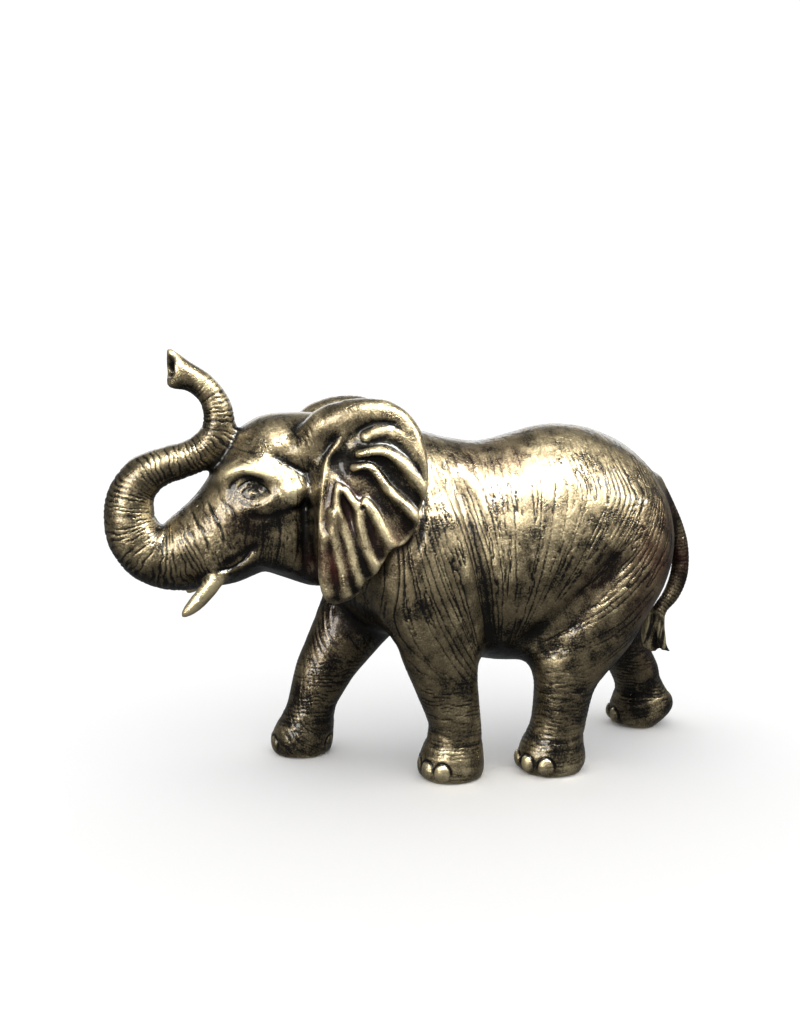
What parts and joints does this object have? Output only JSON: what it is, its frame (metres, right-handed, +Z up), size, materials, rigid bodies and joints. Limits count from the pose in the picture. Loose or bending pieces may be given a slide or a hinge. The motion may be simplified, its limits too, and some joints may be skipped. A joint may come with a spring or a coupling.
{
  "type": "cast elephant statue",
  "caption": "Cast bronze elephant striding on flat soles with its trunk thrown up and back over the brow, fluted ears, small tusks and a tufted tail.",
  "frame": {"origin": "middle of the base, on the plane the four soles stand on", "axes": "+X from the trunk to the tail, so the head looks to -X; +Y from the left flank to the right flank; +Z up"},
  "size_m": [0.4346, 0.136, 0.2947],
  "materials": {
    "bronze": "dark brown patina rubbed to gold on the ridges, under clear gloss lacquer"
  },
  "bodies": {
    "root": {"elephant": "bronze"}
  },
  "joints": []
}
